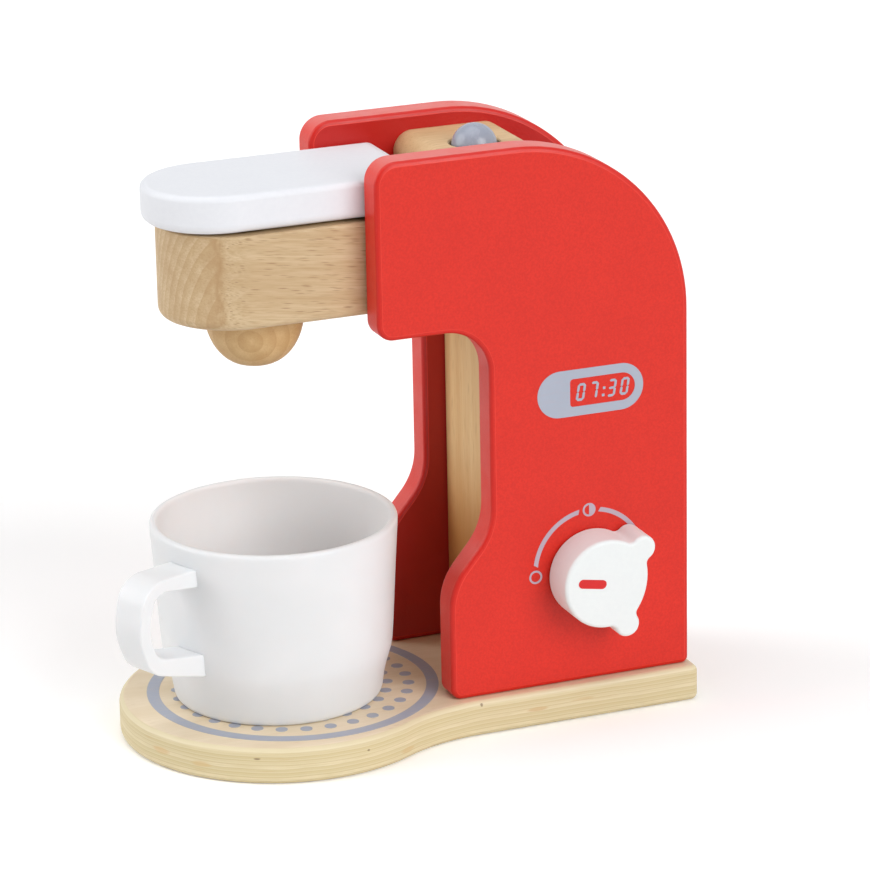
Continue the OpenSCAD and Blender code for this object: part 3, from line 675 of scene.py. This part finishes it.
beechSizes = {
    "half": 22, "corner": 0.4,
    "columnFront": 26.8, "columnBack": 46.8, "columnFoot": 11.2, "columnRound": 1.0,
    "armBottom": 131.2, "armTop": 159.8, "armReach": 70, "armRound": 3.2, "armEdge": 0.8, "heelDrop": 1,
    "padRadius": 17, "padDepth": 12, "padFillet": 0.6, "padChamfer": 0.5,
    "blockFront": 11.8, "blockTop": 173.8, "blockRound": 6,
    "holeRadius": 7.6, "holeY": 29, "holeFloor": 168.8, "holeChamfer": 0.4,
    "spoutY": -41.6, "spoutRadius": 14.8, "spoutDrop": 16.2, "spoutFlat": 3, "spoutEdge": 0.1,
    "tenon": 5, "tenonLength": 9
}


def makeColumn():
    s = beechSizes
    low = (-s["half"], s["columnFront"], s["columnFoot"])
    high = (s["half"], s["columnBack"], s["armBottom"])
    column = roundBox(low, high, s["columnRound"])
    finishPiece("rearColumn", column, "frame", ["rear_column"], columnBeech)


# Outline with a half-round front and small corners at the back
def tongueArcs(half, middle, back, corner):
    front = [(0, middle, half, math.pi, math.pi)]
    return front + [(side * (half - corner), back - corner, corner, first, math.pi / 2)
                    for side, first in ((1, 0), (-1, math.pi / 2))]


# Upper part of a cutter's half section: a chamfered mouth, drawn on past the surface
def boreMouth(radius, top, chamfer, past=0.2):
    wide = radius + chamfer + past
    return [(radius, top - chamfer), (wide, top + past), (wide, top + 2), (0, top + 2)]


def makeArm():
    s = beechSizes
    half, height = s["half"], s["armTop"] - s["armBottom"]
    middle = -(s["armReach"] - half)
    arcs = tongueArcs(half, middle, s["columnBack"], s["corner"])
    arm = thicken(outlineFace(arcs, 3), height, s["armRound"], s["armEdge"], 6)
    moveAll(arm, Matrix.Translation((0, 0, s["armBottom"])))
    # square again where the arm stands on the column
    heelTop = s["armTop"] - s["heelDrop"]
    heel = roundBox((-half, s["columnFront"], s["armBottom"]), (half, s["columnBack"], heelTop))
    arm = carve("armWithHeel", arm, [heel], "UNION")
    floor, radius, fillet = s["armTop"] - s["padDepth"], s["padRadius"], s["padFillet"]
    bottom = [(0, floor), (radius - fillet, floor), (radius, floor + fillet)]
    pad = turned(bottom + boreMouth(radius, s["armTop"], s["padChamfer"]))
    moveAll(pad, Matrix.Translation((0, middle, 0)))
    arm = carve("arm", arm, [pad])
    finishPiece("brewArm", arm, "frame", ["brew_arm"], armBeech)


def makeBlock():
    s = beechSizes
    front, back, low, top = s["blockFront"], s["columnBack"], s["armTop"], s["blockTop"]
    r, corner = s["blockRound"], s["corner"]
    path = [(front, low, corner), (back, low, corner), (back, top, r), (front, top, r)]
    block = thicken(outlineFace(roundedCorners(path), 9), 2 * s["half"], 0, 0)
    moveAll(block, Matrix.Translation((-s["half"], 0, 0)) @ uprightTurn)
    bottom = [(0, s["holeFloor"]), (s["holeRadius"], s["holeFloor"])]
    hole = turned(bottom + boreMouth(s["holeRadius"], top, s["holeChamfer"]), 64)
    moveAll(hole, Matrix.Translation((0, s["holeY"], 0)))
    finishPiece("topBlock", carve("block", block, [hole]), "frame", ["top_block"], blockBeech)


def makeSpout():
    s = beechSizes
    flat, drop = s["spoutFlat"], s["spoutDrop"]
    dome = s["spoutRadius"] - flat
    tenon, tip = s["tenon"], s["tenonLength"]
    section = [(0, tip), (tenon, tip), (tenon, 0), (s["spoutRadius"] - s["spoutEdge"], 0)]
    section += [(flat + dome * math.cos(a), -drop * math.sin(a)) for a in quarterTurn]
    section.append((0, -drop))
    spout = moveAll(turned(section, 80), Matrix.Translation((0, s["spoutY"], s["armBottom"])))
    finishPiece("spoutDome", spout, "frame", ["spout"], spoutBeech)


# Lid and button

lidSizes = {"bottom": 160.5, "thickness": 11.5, "half": 21.5, "reach": 74.2, "lowRound": 3, "highRound": 2,
            "rodY": 1.3, "corner": 3.5}


def makeLid():
    s = lidSizes
    half, corner, heel = s["half"], s["corner"], s["thickness"] / 2
    back = s["rodY"] + heel + 1  # the round slab trims this again
    arcs = tongueArcs(half, half - s["reach"], back, corner)
    lid = thicken(outlineFace(arcs, 3), s["thickness"], s["lowRound"], s["highRound"], 6)
    moveAll(lid, Matrix.Translation((0, 0, s["bottom"])))
    # round at the back, where the lid turns about its rod
    height, past, width = s["bottom"] + heel, -s["reach"] - 20, 60
    side = [(s["rodY"], height, heel, -math.pi / 2, math.pi), (past, height, heel, math.pi / 2, math.pi)]
    slab = thicken(outlineFace(side, 9), width, 0, 0)
    moveAll(slab, Matrix.Translation((-width / 2, 0, 0)) @ uprightTurn)
    finishPiece("brewLid", carve("lid", lid, [slab], "INTERSECT"), "lid", ["lid"], lidPaint)


buttonSizes = {"low": 166.3, "flangeTop": 168.8, "domeCentre": 172.6, "flange": 9.6, "stem": 6.9}


def makeButton():
    s = buttonSizes
    flange, stem = s["flange"], s["stem"]
    section = [(0, s["low"]), (flange, s["low"]), (flange, s["flangeTop"]), (stem, s["flangeTop"])]
    section += [(stem * math.cos(a), s["domeCentre"] + stem * math.sin(a)) for a in quarterTurn]
    button = moveAll(turned(section, 72), Matrix.Translation((0, beechSizes["holeY"], 0)))
    finishPiece("pushButton", button, "button", ["button"], buttonPaint)


springSizes = {
    "seat": 146.8, "top": 166.3, "radius": 5, "wire": 0.96, "inset": 0.5, "turns": 7, "turnSteps": 20,
    "travel": 5
}


# Coil spring under the button
def makeSpring():
    s = springSizes
    length = s["top"] - s["seat"]
    steps = s["turns"] * s["turnSteps"]
    coil = bmesh.new()
    bmesh.ops.create_circle(coil, cap_ends=False, segments=8, radius=s["wire"] / 2)
    moveAll(coil, Matrix.Rotation(math.pi / 2, 4, "X"))
    moveAll(coil, Matrix.Translation((s["radius"] - s["wire"] / 2, 0, s["seat"] + s["inset"])))
    rise = (length - 2 * s["inset"]) / steps
    ring = coil.verts[:] + coil.edges[:]
    bmesh.ops.spin(coil, geom=ring, cent=(0, 0, 0), axis=(0, 0, 1), dvec=(0, 0, rise),
                   angle=math.tau * s["turns"], steps=steps, space=Matrix.Identity(4), use_duplicate=False)
    bmesh.ops.holes_fill(coil, edges=[edge for edge in coil.edges if edge.is_boundary], sides=8)
    bmesh.ops.recalc_face_normals(coil, faces=coil.faces)
    moveAll(coil, Matrix.Translation((0, beechSizes["holeY"], 0)))
    spring = finishPiece("pressSpring", coil, "frame", ["button_spring"], steel)
    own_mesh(spring)


# Knob

knobSizes = {
    "radius": 13.8, "thickness": 12.4, "lobe": 3.9, "reach": 15.2, "turn": 52, "fillet": 2.2,
    "flat": 19, "flatReach": 13.1, "frontRound": 1.2, "backRound": 0.3,
    "tilt": -13, "face": 32.6, "y": 51.4, "z": 45.8
}


# Centre of the hollow fillet that touches two circles, on the given side of the line between them
def filletCentre(first, firstRadius, second, secondRadius, fillet, side):
    near, far = firstRadius + fillet, secondRadius + fillet
    line = second - first
    along = (near ** 2 - far ** 2 + line.length_squared) / (2 * line.length)
    across = math.sqrt(near ** 2 - along ** 2)
    unit = line.normalized()
    return first + unit * along + Vector((-unit.y, unit.x)) * across * side


# Round body, flatter between the two finger lobes, blended by hollow fillets
def knobArcs():
    s = knobSizes
    body, flat = Vector((0, 0)), Vector((s["flatReach"] - s["flat"], 0))
    turn = math.radians(s["turn"])
    lobes = [Vector((math.cos(turn), side * math.sin(turn))) * s["reach"] for side in (-1, 1)]
    circles = [  # in the order in which the outline meets them
        (body, s["radius"]), (lobes[0], s["lobe"]), (flat, s["flat"]), (lobes[1], s["lobe"])
    ]
    hollows = []
    for k, (centre, radius) in enumerate(circles):
        follow, followRadius = circles[(k + 1) % 4]
        hollows.append(filletCentre(centre, radius, follow, followRadius, s["fillet"], -1))
    arcs = []
    for k, (centre, radius) in enumerate(circles):
        before, after = hollows[k - 1], hollows[k]
        start = math.atan2(before.y - centre.y, before.x - centre.x)
        stop = math.atan2(after.y - centre.y, after.x - centre.x)
        arcs.append((centre.x, centre.y, radius, start, (stop - start) % math.tau))
        follow = circles[(k + 1) % 4][0]
        leave = math.atan2(follow.y - after.y, follow.x - after.x) + math.pi
        back = (leave - stop + math.pi) % math.tau - math.pi
        arcs.append((after.x, after.y, -s["fillet"], stop, back))
    return arcs


def makeKnob():
    s = knobSizes
    knob = thicken(outlineFace(knobArcs(), 5), s["thickness"], s["backRound"], s["frontRound"], 5)
    place = Matrix.Translation((s["face"], s["y"], s["z"])) @ uprightTurn
    moveAll(knob, place @ Matrix.Rotation(math.radians(s["tilt"]), 4, "Z"))
    finishPiece("turnKnob", knob, "knob", ["knob"], knobPaint)


# Cup

cupSizes = {
    "y": -37.7, "foot": 11.3, "radius": 37.1, "height": 55.3, "wall": 2.3,
    "underside": [(0, 1.6), (27.9, 1.5), (28.6, 1.2), (28.8, 0.15), (29.1, 0), (30.2, 0),
                  (30.7, 0.15), (31.15, 0.7)],
    "outerWall": [(31.45, 1.6), (31.7, 3.2), (32.1, 5.9), (32.85, 9.1), (33.7, 12), (34.3, 14),
                  (34.75, 16.4), (35.15, 22), (36.2, 40)],
    "innerWall": [(33.9, 40), (32.9, 22), (32.4, 16.4), (31.2, 12), (30.2, 9), (29, 6.6), (26.7, 4.8),
                  (22, 4.2), (0, 4.2)]
}
strapSizes = {
    "turn": 67, "width": 11.5, "edge": 0.6,
    "corners": [  # distance from the cup's axis, height, radius
        (33.2, 14.6, 0.8), (54.6, 20.9, 9), (59.4, 33, 18), (56, 49.4, 9), (35, 49, 0.8),
        (35, 43.3, 0.8), (51.8, 45.9, 5), (54.9, 34.9, 14), (52.3, 25.4, 6), (33.2, 21.7, 0.8)
    ]
}


def makeCup():
    s = cupSizes
    r, h, inner = s["radius"], s["height"], s["radius"] - s["wall"]
    # rim, rounded off over both walls
    rim = [(r - 0.05, h - 2.2), (r, h - 1.1), (r - 0.25, h - 0.35), (r - 0.85, h),
           (inner + 0.65, h), (inner + 0.1, h - 0.5), (inner - 0.05, h - 1.4)]
    section = s["underside"] + s["outerWall"] + rim + s["innerWall"]
    bowl = moveAll(turned(section), Matrix.Translation((0, s["y"], s["foot"])))
    finishPiece("cupBowl", bowl, "cup", ["cup"], cupPlastic, 60)


def makeHandle():
    s = strapSizes
    handle = thicken(outlineFace(roundedCorners(s["corners"]), 6), s["width"], s["edge"], s["edge"], 3)
    moveAll(handle, Matrix.Translation((0, 0, -s["width"] / 2)))
    stand = Matrix.Rotation(math.radians(-s["turn"]), 4, "Z") @ Matrix.Rotation(math.pi / 2, 4, "X")
    moveAll(handle, Matrix.Translation((0, cupSizes["y"], cupSizes["foot"])) @ stand)
    finishPiece("cupHandle", handle, "cup", ["cup"], cupPlastic)


# Carried-over pieces

nodeFinishes = [
    (boardInk, ["drip_print"]), (panelInk, ["display_print"]), (dialInk, ["dial_print"]),
    (markPaint, ["knob_mark"]), (steel, ["base_screws", "knob_washer", "knob_screw"]),
    (dowelBeech, ["lid_hinge_rod", "knob_axle", "column_dowels", "arm_dowels", "block_dowels"])
]


def dressNodes():
    for material, nodes in nodeFinishes:
        for node in nodes:
            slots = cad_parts[node].data.materials
            slots.clear()
            slots.append(material)


makeBase()
makePanels()
makeColumn()
makeArm()
makeBlock()
makeSpout()
print("wooden body made")
makeLid()
makeButton()
makeSpring()
makeKnob()
makeCup()
makeHandle()
dressNodes()
print("lid, button, knob and cup made")


# Stage

stageSizes = {
    "floor": 6, "floorColour": (250, 248, 246), "floorGlow": 0.15, "worldStrength": 0.12,  # floor in metres
    "lamps": {  # direction towards the lamp, angle across it, strength
        "keyLamp": ((1.5, 0.55, 0.8), 40, 1.95),
        "fillLamp": ((-0.6, -1.6, 0.8), 50, 1.45),
        "topLamp": ((-0.1, -0.2, 2), 60, 1.3)
    }
}


def makeFloor():
    bm = bmesh.new()
    bmesh.ops.create_grid(bm, x_segments=4, y_segments=4, size=stageSizes["floor"])
    mesh = bpy.data.meshes.new("floor")
    bm.to_mesh(mesh)
    bm.free()
    floor = bpy.data.objects.new("floor", mesh)
    bpy.context.scene.collection.objects.link(floor)
    material, tree, shader = newMaterial("floorPaper", 0.9, 0.1)[:3]
    seen = addNode(tree, "LightPath").outputs["Is Camera Ray"]
    colour = blendColour(tree, seen, tint(*stageSizes["floorColour"]), (1, 1, 1, 1))
    link(tree, colour, shader, "Base Color")
    shader.inputs["Emission Color"].default_value = (1, 1, 1, 1)
    link(tree, times(tree, seen, stageSizes["floorGlow"]), shader, "Emission Strength")
    mesh.materials.append(material)


def makeWorld():
    world = bpy.data.worlds.new("studio")
    bpy.context.scene.world = world
    world.use_nodes = True
    tree = world.node_tree
    paths = addNode(tree, "LightPath").outputs
    clear = sums(tree, "MAXIMUM", paths["Is Camera Ray"], paths["Is Glossy Ray"])
    clear = sums(tree, "MAXIMUM", clear, paths["Is Transmission Ray"])
    background = tree.nodes["Background"]
    background.inputs["Color"].default_value = (1, 1, 1, 1)
    tree.links.new(spread(tree, clear, 0, 1, stageSizes["worldStrength"], 1), background.inputs["Strength"])


# Very large soft lamp that shines from the given direction
def addLamp(name, direction, spreadAngle, strength):
    lamp = bpy.data.lights.new(name, "SUN")
    lamp.angle = math.radians(spreadAngle)
    lamp.energy = strength
    holder = bpy.data.objects.new(name, lamp)
    bpy.context.scene.collection.objects.link(holder)
    holder.location = direction
    holder.rotation_euler = (-Vector(direction)).to_track_quat("-Z", "Y").to_euler()


cameraSizes = {
    "azimuth": 68.48, "elevation": 18.14, "roll": -1.15,
    "target": (0, 14.65, 84.44), "distance": 1327.05, "lens": 182.44, "sensor": 36
}


def makeCamera():
    s = cameraSizes
    azimuth, elevation, roll = [math.radians(s[key]) for key in ("azimuth", "elevation", "roll")]
    level = math.cos(elevation)
    back = Vector((math.sin(azimuth) * level, -math.cos(azimuth) * level, math.sin(elevation)))
    right = Vector((math.cos(azimuth), math.sin(azimuth), 0))
    up = back.cross(right)
    across = right * math.cos(roll) + up * math.sin(roll)
    upward = up * math.cos(roll) - right * math.sin(roll)
    place = (Vector(s["target"]) + back * s["distance"]) * mm
    data = bpy.data.cameras.new("camera")
    data.lens = s["lens"]
    data.sensor_width = s["sensor"]
    data.clip_start, data.clip_end = 0.05, 50
    camera = bpy.data.objects.new("camera", data)
    bpy.context.scene.collection.objects.link(camera)
    turn = Matrix((across, upward, back)).transposed().to_4x4()
    camera.matrix_world = Matrix.Translation(place) @ turn
    bpy.context.scene.camera = camera


makeFloor()
makeWorld()
for lampName, lampValues in stageSizes["lamps"].items():
    addLamp(lampName, *lampValues)
makeCamera()
bpy.context.scene.view_settings.view_transform = "Standard"
print("stage made")
